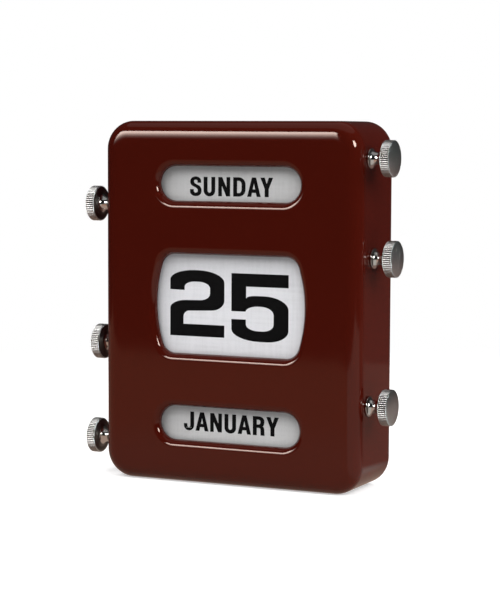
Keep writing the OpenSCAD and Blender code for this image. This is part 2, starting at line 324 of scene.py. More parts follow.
class Paint:
    """A material with a Principled shader, and short ways to add nodes to it."""

    def __init__(self, name, **sockets):
        self.material = bpy.data.materials.new(name)
        self.material.use_nodes = True
        self.tree = self.material.node_tree
        self.shader = self.tree.nodes["Principled BSDF"]
        for socket, value in sockets.items():
            self.shader.inputs[socket.replace("_", " ")].default_value = value

    def node(self, kind, settings=None, **sockets):
        made = self.tree.nodes.new("ShaderNode" + kind)
        for setting, value in (settings or {}).items():
            setattr(made, setting, value)
        for socket, value in sockets.items():
            self.feed(made.inputs[socket.replace("_", " ")], value)
        return made

    def feed(self, socket, value):
        if isinstance(value, bpy.types.NodeSocket):
            self.tree.links.new(value, socket)
        else:
            socket.default_value = value

    def where(self):
        """Object coordinates, in metres."""
        return self.node("TexCoord").outputs["Object"]

    def along(self, axis):
        """One of the object coordinates."""
        return self.node("SeparateXYZ", Vector=self.where()).outputs[axis]

    def length(self, vector):
        return self.node("VectorMath", {"operation": "LENGTH"}, Vector=vector).outputs["Value"]

    def noise(self, size, detail=3.0, stretch=(1, 1, 1)):
        """Noise whose features are about so many millimetres across."""
        scale = [1 / (MM * size * part) for part in stretch]
        place = self.node("Mapping", Vector=self.where(), Scale=scale).outputs["Vector"]
        return self.node("TexNoise", Vector=place, Scale=1.0, Detail=detail).outputs["Fac"]

    def threads(self, direction, pitch):
        """Ridges across a direction, so many millimetres apart."""
        wave_period = math.pi / 10
        return self.node("TexWave", {"bands_direction": direction}, Vector=self.where(),
                         Scale=wave_period / (pitch * MM)).outputs["Fac"]

    def calculate(self, operation, first, second):
        made = self.node("Math", {"operation": operation})
        self.feed(made.inputs[0], first)
        self.feed(made.inputs[1], second)
        return made.outputs["Value"]

    def ramp(self, value, low, high):
        """A value from 0 to 1, spread from low to high."""
        return self.node("MapRange", Value=value, To_Min=low, To_Max=high).outputs["Result"]

    def spread(self, value, low, high, end=1.0):
        """A value from low to high turned into one from 0 to end, smoothly."""
        made = self.node("MapRange", {"interpolation_type": "SMOOTHSTEP"}, Value=value,
                         From_Min=low, From_Max=high, To_Min=0.0, To_Max=end)
        return made.outputs["Result"]

    def blend(self, share, first, second):
        return self.node("MixRGB", Fac=share, Color1=first, Color2=second).outputs["Color"]

    def colour(self, value):
        self.feed(self.shader.inputs["Base Color"], value)

    def roughness(self, value):
        self.feed(self.shader.inputs["Roughness"], value)

    def bump(self, relief, height):
        """Relief whose full height is so many millimetres, over what is there already."""
        made = self.node("Bump", Height=relief, Distance=height * MM, Strength=1.0)
        before = self.shader.inputs["Normal"].links
        if before:
            self.tree.links.new(before[0].from_socket, made.inputs["Normal"])
        self.tree.links.new(made.outputs["Normal"], self.shader.inputs["Normal"])


def rgb(*parts):
    """A linear colour."""
    return (*parts, 1.0)


def grey(level):
    return rgb(level, level, level)


def enamel(name, colour, darker):
    """Glossy stoved enamel: a deep even colour, a faint orange peel and slow waves."""
    paint = Paint(name, IOR=1.5, Specular_Tint=rgb(1.0, 0.8, 0.7))
    paint.colour(paint.blend(paint.ramp(paint.noise(size=24), 0.0, 0.5), colour, darker))
    paint.roughness(paint.ramp(paint.noise(size=9), low=0.045, high=0.1))
    paint.bump(paint.noise(size=1.7, detail=1.0), height=0.0025)
    paint.bump(paint.noise(size=28, detail=1.0), height=0.02)
    return paint.material


def painted_shade_share(paint):
    """Painted shade from the rims: a share that grows towards whatever stands close above the
    surface and at its left.
    """
    up_and_left = (-0.75, 0, 1.2)
    reach = 14
    darkest, clear = 0.45, 0.79
    most_shade = 0.45
    tilt = paint.node("VectorMath", {"operation": "ADD"})
    paint.feed(tilt.inputs[0], paint.node("NewGeometry").outputs["Normal"])
    paint.feed(tilt.inputs[1], up_and_left)
    open_sky = paint.node("AmbientOcclusion", {"samples": 16}, Distance=reach * MM,
                          Normal=tilt.outputs["Vector"]).outputs["AO"]
    return paint.node("MapRange", Value=open_sky, From_Min=darkest, From_Max=clear,
                      To_Min=most_shade, To_Max=0.0).outputs["Result"]


def cloth(name, colour, shade, roughness, sheen, rim_shade=None):
    """A plain weave of fine threads, some of them thicker, under a starched or inked face. A rim
    shade colour gives it painted shade near the rims.
    """
    paint = Paint(name, Roughness=roughness, Specular_IOR_Level=sheen)
    warp = paint.threads("X", pitch=0.36)
    weft = paint.threads("Z", pitch=0.4)
    slubs = paint.calculate("ADD", paint.noise(size=1.2, detail=2.0, stretch=(1, 1, 14)),
                            paint.noise(size=1.2, detail=2.0, stretch=(16, 1, 1)))
    weave = paint.calculate("MAXIMUM", warp, weft)
    cover = paint.calculate("MULTIPLY", weave, slubs)
    woven = paint.blend(paint.ramp(cover, 1.0, 0.0), colour, shade)
    # Painted shade: the cloth darkens towards the rims above it and at its left
    paint.colour(paint.blend(painted_shade_share(paint), woven, rim_shade) if rim_shade else woven)
    paint.bump(cover, height=0.035)
    return paint.material


def metal(name, colour, low, high, grain, size):
    """Bare or plated metal with a grain, and roughness that varies from low to high."""
    dark_share = 0.82
    paint = Paint(name, Metallic=1.0)
    marks = paint.noise(size, 4.0, grain)
    paint.colour(paint.blend(paint.ramp(paint.noise(size=7), 0.0, 0.35), colour,
                             rgb(*(part * dark_share for part in colour[:3]))))
    paint.roughness(paint.ramp(marks, low, high))
    paint.bump(marks, height=0.002)
    return paint.material


def from_axis(paint):
    """Distance from a knob's axis, which is its local X, in metres."""
    across = paint.node("CombineXYZ", Y=paint.along("Y"), Z=paint.along("Z"))
    return paint.length(across.outputs["Vector"])


def turned_nickel(name, bright, dark, low, high):
    """Nickel plate with fine turned rings round the knob's axis, and that range of roughness."""
    ring_pitch = 0.12
    paint = Paint(name, Metallic=1.0)
    radius = paint.calculate("MULTIPLY", from_axis(paint), 1 / (ring_pitch * MM))
    rings = paint.node("TexNoise", {"noise_dimensions": "1D"}, W=radius, Scale=1.0,
                       Detail=2.0).outputs["Fac"]
    paint.colour(paint.blend(paint.noise(size=3), bright, dark))
    paint.roughness(paint.ramp(rings, low, high))
    paint.bump(rings, height=0.0035)
    return paint.material


def knurled_nickel(ridge_r, groove_r):
    """The same plate on the knob's rim, bright on the ridges and darkened towards the grooves with
    painted shade.
    """
    groove, ridge = rgb(0.025, 0.023, 0.022), rgb(0.62, 0.615, 0.6)
    uneven_shade = 0.2
    paint = Paint("knurled_nickel", Metallic=1.0)
    height = paint.node("MapRange", Value=from_axis(paint), From_Min=groove_r * MM,
                        From_Max=ridge_r * MM).outputs["Result"]
    uneven = paint.calculate("MULTIPLY", paint.noise(size=1.1), uneven_shade)
    # Painted shade: the colour darkens unevenly from the ridges into the grooves
    paint.colour(paint.blend(paint.calculate("ADD", height, uneven), groove, ridge))
    paint.roughness(paint.ramp(height, low=0.45, high=0.22))
    paint.bump(paint.noise(size=0.5), height=0.003)
    return paint.material


CASE_ENAMEL = enamel("case_enamel", rgb(0.058, 0.0050, 0.0023), rgb(0.049, 0.0041, 0.0019))
COVER_ENAMEL = enamel("cover_enamel", rgb(0.050, 0.0048, 0.0026), rgb(0.043, 0.0040, 0.0021))
TURNED = turned_nickel("turned_nickel", rgb(0.80, 0.79, 0.77), rgb(0.66, 0.65, 0.63), 0.07, 0.15)
FACED = turned_nickel("faced_nickel", rgb(0.79, 0.89, 0.91), rgb(0.71, 0.80, 0.82), 0.33, 0.45)
# A dark copy of the turned nickel: painted shade on the head's underside and the flare beneath it
SHADED_NICKEL = turned_nickel("nickel_in_painted_shade", rgb(0.20, 0.20, 0.195), rgb(0.16, 0.16, 0.155), 0.3, 0.45)
# The grey of the painted shade that the rims cast on the bands' cloth
RIM_SHADE = grey(0.07)
CLOTH = cloth("starched_cloth", rgb(0.86, 0.86, 0.89), rgb(0.66, 0.66, 0.68), 0.8, 0.1, RIM_SHADE)
# A darker copy of the cloth for the day and month bands: painted shade for their narrower, deeper
# windows
SHADED_CLOTH = cloth("cloth_in_painted_shade", grey(0.71), grey(0.54), 0.8, 0.1, RIM_SHADE)
INK = cloth("black_ink", rgb(0.0045, 0.0045, 0.0047), grey(0.003), 0.55, 0.03)
SLOT_MATERIALS = {
    "band_cloth": CLOTH,
    "frame_steel": metal("rolled_steel", rgb(0.42, 0.42, 0.43), 0.3, 0.48, (1, 1, 18), 0.5),
    "zinc_steel": metal("zinc_plate", rgb(0.62, 0.63, 0.65), 0.22, 0.4, (1, 1, 1), 0.9),
    "shaft_steel": metal("ground_steel", rgb(0.52, 0.52, 0.53), 0.16, 0.3, (0.2, 6, 6), 0.5),
    "spring_steel": metal("blued_steel", rgb(0.10, 0.12, 0.17), 0.25, 0.4, (1, 1, 1), 0.7),
    "core_aluminium": metal("drawn_aluminium", rgb(0.70, 0.70, 0.71), 0.26, 0.42, (14, 1, 1), 0.4),
    "bush_brass": metal("turned_brass", rgb(0.68, 0.48, 0.20), 0.2, 0.34, (0.3, 5, 5), 0.5),
}


# ---------------------------------------------------------------- case

def eased_edge():
    """The drawn edge from the side to the front, which it meets further in than a plain round."""
    turn = math.radians(90 / eased_steps)
    angles = [(k + 0.5) * turn for k in range(eased_steps)]
    eases = [edge_ease / math.radians(edge_ease_angle)
             * math.exp(-math.degrees(angle) / edge_ease_angle) for angle in angles]
    eased_depth = sum(ease * math.sin(angle) for ease, angle in zip(eases, angles)) * turn
    rows, out, depth = [(0.0, edge_r, 1, 0)], 0.0, edge_r
    for ease, angle in reversed(list(zip(eases, angles))):
        bend = (edge_r - eased_depth + ease) * turn
        out -= bend * math.cos(angle)
        depth -= bend * math.sin(angle)
        front = angle - turn / 2
        rows.append((out, depth, math.sin(front), -math.cos(front)))
    rows[-1] = (out, 0.0, 0, -1)
    return rows


def case_profile():
    """The sheet in section from its inner front to its outer front, by way of the back edge."""
    back = case_d - sheet_edge_r
    rows = quarter(-edge_r, edge_r, edge_r - case_wall, -90, 0, fillet_steps, -1)
    rows += quarter(-case_wall + sheet_edge_r, back, sheet_edge_r, 180, 90, edge_steps)
    rows += quarter(-sheet_edge_r, back, sheet_edge_r, 90, 0, edge_steps)
    return rows + eased_edge()


def rim_profile():
    """The rolled rim of a window in section, from the outer front to the inner front."""
    inner_r = rim_r - case_wall
    end = math.degrees(math.asin(rim_edge_r / rim_r))
    inner_end = math.degrees(math.asin(rim_edge_r / inner_r))
    outer_u = rim_r - rim_r * math.cos(math.radians(end)) + rim_edge_r
    inner_u = rim_r - inner_r * math.cos(math.radians(inner_end)) - rim_edge_r
    rows = quarter(rim_r, rim_r, rim_r, 270, 180 + end, rim_steps)
    rows += quarter(outer_u, rim_r - rim_edge_r, rim_edge_r, 180, 90, edge_steps)
    rows += quarter(inner_u, rim_r - rim_edge_r, rim_edge_r, 90, 0, edge_steps)
    rows += quarter(rim_r, rim_r, inner_r, 180 + inner_end, 270, rim_steps, -1)
    return rows


def small_window(z):
    """The day or month window: a slot with half-round ends."""
    half = (small_window_w - small_window_h) / 2
    radius = small_window_h / 2
    return (arc(half, z, radius, -math.pi / 2, math.pi / 2, window_end_steps)
            + arc(-half, z, radius, math.pi / 2, 3 * math.pi / 2, window_end_steps))


def date_window():
    """The date window: bowed sides, round corners and straight top and bottom."""
    right_angle = math.pi / 2
    top_right = arc(date_corner_x, date_z + date_corner_z, date_corner_r, side_angle,
                    right_angle, date_corner_steps)
    left = math.pi
    stations = arc(side_centre_x, date_z, date_side_r, -side_angle, side_angle, date_side_steps)
    stations += top_right[1:]
    stations += arc(-date_corner_x, date_z + date_corner_z, date_corner_r, right_angle,
                    left - side_angle, date_corner_steps)
    stations += arc(-side_centre_x, date_z, date_side_r, left - side_angle, left + side_angle,
                    date_side_steps)[1:]
    stations += arc(-date_corner_x, date_z - date_corner_z, date_corner_r, left + side_angle,
                    3 * right_angle, date_corner_steps)[1:]
    stations += arc(date_corner_x, date_z - date_corner_z, date_corner_r, 3 * right_angle,
                    4 * right_angle - side_angle, date_corner_steps)[:-1]
    return stations


def spindle_place(roller):
    """Depth and height of a roller's axis."""
    low, high = box_mm(f"{roller}_shaft")
    middle = (low + high) / 2
    return middle.y, middle.z


def side_panels(skin, side, front_row_y, back_row_y):
    """The flat side of the case, inside and outside, with its spindle holes."""
    low_z, high_z = corner_r, case_h - corner_r
    plane = Plane((side * case_w / 2, 0, 0), (0, 1, 0), (0, 0, 1), (-side, 0, 0))
    edge = [(front_row_y, low_z), (back_row_y, low_z), (back_row_y, high_z),
            (front_row_y, high_z)]
    holes = [circle(*spindle_place(roller), spindle_hole_r)
             for roller, knob_side in KNOBS if knob_side == side]
    lip = quarter(spindle_hole_edge_r, spindle_hole_edge_r, spindle_hole_edge_r, 270, 180,
                  edge_steps) + [(0.0, case_wall, -1, 0)]
    for hole in holes:
        skin.sweep(plane, hole, lip)
    skin.panel(plane, [edge] + [loop(hole, spindle_hole_edge_r) for hole in holes], 0, -1)
    skin.panel(plane, [edge] + [loop(hole) for hole in holes], case_wall, 1)


def make_case():
    """The sheet-steel case. Its flat sides are made apart, because they have holes."""
    skin = Skin()
    shell = rounded_box(case_w, case_h, corner_r, case_h / 2)
    profile = case_profile()
    flat_rows = [row for row in range(len(profile) - 1)
                 if abs(profile[row + 1][1] - profile[row][1]) > edge_r]
    left_step, right_step = 2 * corner_steps + 1, 4 * corner_steps + 3

    def is_side(k, row):
        return k in (left_step, right_step) and row in flat_rows

    skin.sweep(FRONT, shell, profile, skip=is_side)
    for side in (-1, 1):
        side_panels(skin, side, front_y + edge_r, front_y + case_d - sheet_edge_r)
    windows = [small_window(day_z), date_window(), small_window(month_z)]
    for window in windows:
        skin.sweep(FRONT, window, rim_profile())
    openings = [loop(window, rim_r) for window in windows]
    skin.panel(FRONT, [loop(shell, profile[-1][0])] + openings, 0, -1)
    skin.panel(FRONT, [loop(shell, profile[0][0])] + openings, case_wall, 1)
    case = skin.make("enamelled_case", [CASE_ENAMEL])
    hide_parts("front_case")
    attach(case, "case")


make_case()


# ---------------------------------------------------------------- knobs

# Places and lengths along a knob's axis, counted from the side of the case
spindle_start = -12.5
spindle_chamfer = 0.2
collar_gap = 0.25
collar_t = 0.5
waist_at = 3.1
neck_l = 6.4
knob_t = 3.8

# Radii, of which the neck's are those of its collar, its waist and its end under the head.
# Beyond the unshaded radius the neck's flare under the head gets painted shade, and the face ends
# where its chamfer starts.
spindle_r = 1.25
collar_r = 4.0
collar_edge_r = 0.12
waist_r = 2.5
trumpet_r = 5.4
unshaded_r = 3.4
knob_r = 7.2
face_r = 6.8
chamfer_slope = 0.6

# The knurl: its depth, and the share of it that each step of a flute goes in
flutes = 54
flute_depth = 0.36
flute_shape = (0.0, 0.08, 0.36, 0.8, 1.0, 0.8, 0.36, 0.08)
flute_steps = len(flute_shape)
flute_row = 2
# Share of the flute's depth below the ridges over which the rim's colour goes into the painted
# shade of the grooves
groove_shade_share = 0.4

# The neck has a point for each so many of the knurl's
neck_share = 4
neck_steps = 14
sharp_angle = 32

# How far each knob is turned at rest, in degrees, in the order of KNOBS
knob_turns = (1.6, 40.0, 77.9, 114.1, 152.2, 187.0)

# The finishes of a knob, in the order of its materials
KNURLED = knurled_nickel(knob_r, knob_r - groove_shade_share * flute_depth)
KNOB_FINISHES = (TURNED, KNURLED, FACED, SHADED_NICKEL)
ON_NECK, ON_RIM, ON_FACE, UNDER_HEAD = range(len(KNOB_FINISHES))


def neck_rows():
    """The turned part under the head as (distance from the case, radius) rows."""
    rows = [(spindle_start, spindle_r - spindle_chamfer),
            (spindle_start + spindle_chamfer, spindle_r), (collar_gap, spindle_r)]
    foot = collar_gap + collar_t
    foot_r = collar_r - collar_edge_r
    for middle, start in ((collar_gap + collar_edge_r, -90), (foot - collar_edge_r, 0)):
        for k in range(edge_steps + 1):
            angle = math.radians(start + 90 * k / edge_steps)
            rows.append((middle + collar_edge_r * math.sin(angle),
                         foot_r + collar_edge_r * math.cos(angle)))
    flares = [(foot, foot_r, 1 - k / neck_steps) for k in range(neck_steps)]
    flares += [(neck_l, trumpet_r, k / neck_steps) for k in range(neck_steps + 1)]
    for end, end_r, share in flares:
        turn = share * math.pi / 2
        rows.append((waist_at + (end - waist_at) * math.sin(turn),
                     waist_r + (end_r - waist_r) * (1 - math.cos(turn))))
    return rows


def head_rows():
    """The head as (distance from the case, radius of the cut that limits its flutes) rows."""
    low, high = neck_l, neck_l + knob_t
    cuts = [(chamfer_slope * (cut - face_r), cut)
            for cut in (face_r, knob_r - flute_depth, knob_r)]
    return [(low + along, cut) for along, cut in cuts] + [(high - along, cut)
                                                          for along, cut in reversed(cuts)]


def flute_radius(number):
    """Radius of the fluted rim: broad ridges with grooves between them."""
    return knob_r - flute_depth * flute_shape[number % flute_steps]


def knob_mesh():
    """A knob along its own X, from its spindle's end to its face, in metres."""
    around = flutes * flute_steps
    made = bmesh.new()

    def ring(along, radii):
        count = len(radii)
        return [made.verts.new(Vector((along, radius * math.cos(2 * math.pi * k / count),
                                       radius * math.sin(2 * math.pi * k / count))) * MM)
                for k, radius in enumerate(radii)]

    def join(first, second, finish):
        for k in range(len(first)):
            after = (k + 1) % len(first)
            face = made.faces.new((first[k], second[k], second[after], first[after]))
            face.material_index = finish

    rows = neck_rows()
    neck = [ring(along, [radius] * (around // neck_share)) for along, radius in rows]
    head = [ring(along, [min(cut, flute_radius(k)) for k in range(around)])
            for along, cut in head_rows()]
    for (along, radius), first, second in zip(rows, neck, neck[1:]):
        # The flare close under the head gets painted shade
        in_shade = along > waist_at and radius > unshaded_r
        join(first, second, UNDER_HEAD if in_shade else ON_NECK)
    for row, (first, second) in enumerate(zip(head, head[1:])):
        join(first, second, ON_RIM if row == flute_row else ON_FACE)
    made.faces.new(neck[0])
    made.faces.new(reversed(head[-1])).material_index = ON_FACE
    # The head's underside gets painted shade too
    for k in range(around // neck_share):
        outer = [head[0][(k * neck_share + step) % around] for step in range(neck_share + 1)]
        inner = made.faces.new([neck[-1][k]] + outer + [neck[-1][(k + 1) % len(neck[-1])]])
        inner.material_index = UNDER_HEAD
    bmesh.ops.recalc_face_normals(made, faces=made.faces)
    mesh = bpy.data.meshes.new("knob")
    made.to_mesh(mesh)
    made.free()
    mesh.shade_smooth()
    mesh.set_sharp_from_angle(angle=math.radians(sharp_angle))
    for material in KNOB_FINISHES:
        mesh.materials.append(material)
    return mesh


def make_knobs():
    """One knob's mesh, turned and placed on each roller."""
    mesh = knob_mesh()
    for turn, (roller, side) in zip(knob_turns, KNOBS):
        knob = link(bpy.data.objects.new(f"{roller}_turned_knob", mesh))
        y, z = spindle_place(roller)
        facing = Matrix.Rotation(0 if side > 0 else math.pi, 4, "Z")
        twist = Matrix.Rotation(math.radians(turn), 4, "X")
        place = Matrix.Translation(Vector((side * case_w / 2, y, z)) * MM)
        knob.matrix_world = place @ facing @ twist
        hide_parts(f"{roller}_knob")
        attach(knob, f"{roller}_roller")


make_knobs()


# ---------------------------------------------------------------- print

# A letter or a figure is a width and its loops. A corner of a loop is (x, y), or it is rounded
# off and says how far the curve reaches back along its two edges: (x, y, before, after).
LETTERS = {
    "A": (5.7, [[(0, 0), (2, 8), (3.7, 8), (5.7, 0), (4.1, 0), (3.72, 1.7), (1.98, 1.7),
                 (1.6, 0)], [(2.25, 3), (3.45, 3), (2.85, 6)]]),
    "B": (5.1, [[(0, 0), (0, 8), (4.8, 8, 2.1, 1.9), (4.8, 4.45, 1.5, 0.6),
                 (4.2, 4.15, 0.1, 0.1), (5.1, 3.85, 0.6, 1.6), (5.1, 0, 2, 2.1)],
                [(1.58, 1.3), (3.5, 1.3, 0.9, 0.9), (3.5, 3.5, 0.9, 0.9), (1.58, 3.5)],
                [(1.58, 4.75), (3.25, 4.75, 0.8, 0.8), (3.25, 6.7, 0.8, 0.8), (1.58, 6.7)]]),
    "D": (5.25, [[(0, 0), (0, 8), (5.25, 8, 2.9, 2.9), (5.25, 0, 2.9, 2.9)],
                 [(1.58, 1.35), (3.67, 1.35, 1.3, 1.5), (3.67, 6.65, 1.5, 1.3), (1.58, 6.65)]]),
    "E": (4.4, [[(0, 0), (0, 8), (4.3, 8), (4.3, 6.65), (1.58, 6.65), (1.58, 4.75), (4, 4.75),
                 (4, 3.4), (1.58, 3.4), (1.58, 1.35), (4.4, 1.35), (4.4, 0)]]),
    "F": (4.3, [[(0, 0), (0, 8), (4.3, 8), (4.3, 6.65), (1.58, 6.65), (1.58, 4.7), (3.95, 4.7),
                 (3.95, 3.35), (1.58, 3.35), (1.58, 0)]]),
    "J": (4.5, [[(2.92, 8), (4.5, 8), (4.5, -0.12, 2.5, 2.2), (0, -0.12, 2.2, 2.2), (0, 2.8),
                 (1.45, 2.8), (1.45, 1.2, 0.9, 0.75), (2.92, 1.2, 0.75, 0.9)]]),
    "M": (6.3, [[(0, 0), (0, 8), (2.1, 8), (3.15, 3.4), (4.2, 8), (6.3, 8), (6.3, 0), (4.9, 0),
                 (4.9, 5.6), (3.75, 0), (2.55, 0), (1.4, 5.6), (1.4, 0)]]),
    "N": (5.1, [[(0, 0), (0, 8), (1.6, 8), (3.65, 3.3), (3.65, 8), (5.1, 8), (5.1, 0), (3.5, 0),
                 (1.45, 4.7), (1.45, 0)]]),
    "O": (5.2, [[(0, -0.12, 2.5, 2.5), (0, 8.12, 2.5, 2.5), (5.2, 8.12, 2.5, 2.5),
                 (5.2, -0.12, 2.5, 2.5)],
                [(1.58, 1.2, 1, 1), (3.62, 1.2, 1, 1), (3.62, 6.8, 1, 1), (1.58, 6.8, 1, 1)]]),
    "R": (5, [[(0, 0), (0, 8), (4.9, 8, 2.3, 1.9), (4.9, 4.35, 1.6, 0.6),
               (4.1, 3.85, 0.2, 0.2), (4.85, 3.3, 0.6, 0.8), (5, 0), (3.4, 0),
               (3.3, 3.2, 0.7, 0.7), (1.58, 3.2), (1.58, 0)],
              [(1.58, 4.5), (3.3, 4.5, 0.9, 0.9), (3.3, 6.7, 0.9, 0.9), (1.58, 6.7)]]),
    "S": (5, [[(4.85, 5.6), (4.85, 8.12, 1.95, 2.3), (0.1, 8.12, 2.3, 2), (0.1, 4.75, 1.3, 1.1),
               (3.45, 3.05, 0.9, 0.7), (3.45, 1.2, 0.9, 0.95), (1.55, 1.2, 0.95, 0.9),
               (1.55, 2.7), (0, 2.7), (0, -0.12, 1.9, 2.4), (5, -0.12, 2.4, 2),
               (5, 3.75, 1.35, 1.2), (1.65, 5.4, 0.9, 0.6), (1.65, 6.85, 0.6, 0.8),
               (3.35, 6.85, 0.8, 0.8), (3.35, 5.6)]]),
    "U": (5, [[(0, 8), (0, -0.12, 2.4, 2.4), (5, -0.12, 2.4, 2.4), (5, 8), (3.42, 8),
               (3.42, 1.3, 1.1, 0.92), (1.58, 1.3, 0.92, 1.1), (1.58, 8)]]),
    "Y": (5.3, [[(0, 8), (1.7, 8), (2.65, 5.2), (3.6, 8), (5.3, 8), (3.45, 3.3), (3.45, 0),
                 (1.85, 0), (1.85, 3.3)]]),
}
FIGURES = {
    "2": (24.3, [[(0, 18.7), (0, 26.75, 4.1, 11), (24.3, 26.75, 11.8, 4.8),
                  (24.3, 10.9, 4, 5.7), (6, 10.2, 2.4, 2.4), (6, 4.9), (24.3, 4.9), (24.3, 0),
                  (0, 0), (0, 14.4, 3.2, 7), (17.9, 14.8, 4.4, 2.6), (17.9, 22.1, 2.6, 5.2),
                  (6.5, 22.1, 4.6, 2.2), (6.5, 18.55)]]),
    "4": (24.6, [[(14.2, 0), (20.9, 0), (20.9, 5.4), (24.6, 5.4), (24.6, 10.5), (20.9, 10.5),
                  (20.9, 26.1), (11.5, 26.1), (0, 11.2), (0, 5.4), (14.2, 5.4)],
                 [(5.9, 10.5), (14.2, 10.5), (14.2, 20.8)]]),
    "5": (24.95, [[(0, 10.9), (0, 26.1), (24.95, 26.1), (24.95, 20.9), (6.5, 20.9),
                   (6.5, 16.2), (7.6, 17.3, 0.9, 3.2), (24.95, 17.4, 11, 5.3),
                   (24.95, -0.95, 4.8, 9.4), (0, -0.95, 12.6, 4.7), (0, 7.75), (6.4, 7.75),
                   (6.4, 3.3, 2.6, 5.4), (18.5, 3.3, 4.8, 2.8), (18.5, 13.1, 3.2, 5.6),
                   (7.4, 13.1, 4.2, 1.9), (6.2, 10.9)]]),
    "6": (24.7, [[(24.3, 18.6), (24.3, 26.75, 4.4, 10), (0, 26.75, 11, 6.5),
                  (0, -0.85, 6.5, 11), (24.7, -0.85, 11, 5.2), (24.7, 17, 5.2, 10),
                  (6.4, 16.6, 3, 1), (6.4, 22.2, 1.8, 3.4), (17.9, 22.2, 3.4, 1.8),
                  (17.9, 18.6)],
                 [(6.5, 4.2, 2, 4.5), (18.2, 4.2, 4.5, 2), (18.2, 12.3, 2, 4.5),
                  (6.5, 12.3, 4.5, 2)]]),
}

# A rounded corner is one curve whose handles reach this share of the way to the corner
round_pull = 0.5523
round_steps = 8

# Letters are drawn 8 high and printed 7.5 high, and ink that spread makes their strokes thicker
letter_scale = 7.5 / 8
letter_spread = 0.09

# Gaps between the letters of a word, in the letters' own units
WORD_GAPS = {
    "SUNDAY": [1.1, 1.5, 1.5, 0.9, 0.05],
    "MONDAY": [1.0, 1.1, 1.5, 0.9, 0.05],
    "JANUARY": [0.8, 0.9, 1.3, 0.9, 0.97, 0.9],
    "FEBRUARY": [0.9, 1.0, 1.0, 1.0, 0.97, 0.9, 0.9],
}


def rounded(corners):
    """The loop with its corners rounded off."""
    points = []
    for number, corner in enumerate(corners):
        here = Vector(corner[:2])
        if len(corner) == 2:
            points.append(tuple(here))
            continue
        before = Vector(corners[number - 1][:2]) - here
        after = Vector(corners[(number + 1) % len(corners)][:2]) - here
        start = here + before.normalized() * corner[2]
        end = here + after.normalized() * corner[3]
        pull, push = start.lerp(here, round_pull), end.lerp(here, round_pull)
        for step in range(round_steps + 1):
            t = step / round_steps
            points.append(tuple((1 - t) ** 3 * start + 3 * (1 - t) ** 2 * t * pull
                                + 3 * (1 - t) * t ** 2 * push + t ** 3 * end))
    return points


def moved(loops, x, z, stretch=1.0):
    """The loops moved by x and z, after a stretch of their height."""
    return [[(u + x, v * stretch + z) for u, v in outline] for outline in loops]


def spread_out(loops, amount):
    """The loops of one letter with its strokes thickened, first loop outer and the rest holes."""
    made = []
    for number, points in enumerate(loops):
        count = len(points)
        area = sum(points[k - 1][0] * points[k][1] - points[k][0] * points[k - 1][1]
                   for k in range(count))
        side = math.copysign(amount, area) * (1 if number == 0 else -1)
        moved_points = []
        for k, point in enumerate(points):
            here = Vector(point)
            before = (here - Vector(points[k - 1])).normalized()
            after = (Vector(points[(k + 1) % count]) - here).normalized()
            push = Vector((before.y + after.y, -before.x - after.x)) / (1 + before.dot(after))
            moved_points.append(tuple(here + push * side))
        made.append(moved_points)
    return made


def word(text, x, z):
    """Loops of a word that is centred at x and stands on the height z."""
    loops, width = [], 0.0
    for letter, gap in zip(text, WORD_GAPS[text] + [0.0]):
        letter_w, outlines = LETTERS[letter]
        bold = spread_out([rounded(outline) for outline in outlines], letter_spread)
        loops += moved(bold, width, 0)
        width += letter_w + gap
    return moved(loops, x - width / 2, z, letter_scale)


first_figure_x = -27.1
second_figure_x = 0.3


def figures(first, second, z):
    """Loops of the date with those two figures, standing on the height z."""
    loops = []
    for figure, x in ((first, first_figure_x), (second, second_figure_x)):
        loops += moved([rounded(outline) for outline in FIGURES[figure][1]], x, z)
    return loops


# ---------------------------------------------------------------- bands

# Legends stand on these heights with words centred at these places, one pitch from the next
figure_z = date_z - 13.05
date_pitch = date_window_h
day_word_z = day_z - 4.85
month_word_z = month_z - 3.0
word_pitch = 13.4
day_word_x = -0.3
month_word_x = -0.15


def make_band(band, legends, material):
    """The flat run of a band: a strip of cloth with print on its front."""
    low, high = box_mm(f"{band}_band")
    skin = Skin()
    edge = [(low.x, low.z), (high.x, low.z), (high.x, high.z), (low.x, high.z)]
    skin.panel(FRONT, [edge], low.y - front_y, -1, legends)
    skin.thicken(FRONT, high.y - low.y)
    strip = skin.make(f"{band}_printed_band", [material, INK])
    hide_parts(f"{band}_band")
    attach(strip, f"{band}_run")


make_band("day", word("SUNDAY", day_word_x, day_word_z)
          + word("MONDAY", day_word_x, day_word_z - word_pitch), SHADED_CLOTH)
make_band("month", word("JANUARY", month_word_x, month_word_z)
          + word("FEBRUARY", month_word_x, month_word_z - word_pitch), SHADED_CLOTH)
make_band("date", figures("2", "5", figure_z) + figures("2", "4", figure_z + date_pitch)
          + figures("2", "6", figure_z - date_pitch), CLOTH)


# ---------------------------------------------------------------- finish of the other nodes

NODE_SLOTS = {
    "band_cloth": [f"{roller}_roll" for roller, _ in KNOBS],
    "frame_steel": ["left_cheek", "right_cheek"],
    "zinc_steel": ["corner_lugs", "back_screws", "cheek_rivets"],
    "shaft_steel": [f"{roller}_shaft" for roller, _ in KNOBS],
    "spring_steel": [f"{roller}_washer" for roller, _ in KNOBS],
    "core_aluminium": [f"{roller}_core" for roller, _ in KNOBS],
    "bush_brass": ["left_bushes", "right_bushes"],
}


def paint_node(name, material):
    """Gives a node that keeps its CAD solid a material."""
    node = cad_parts[name]
    node.data.materials.clear()
    node.data.materials.append(material)


for slot_name, names in NODE_SLOTS.items():
    for name in names:
        paint_node(name, SLOT_MATERIALS[slot_name])
paint_node("back_cover", COVER_ENAMEL)


# ---------------------------------------------------------------- light and stage

middle_z = case_h / 2
ambient = 0.1
light_distance = 1150.0

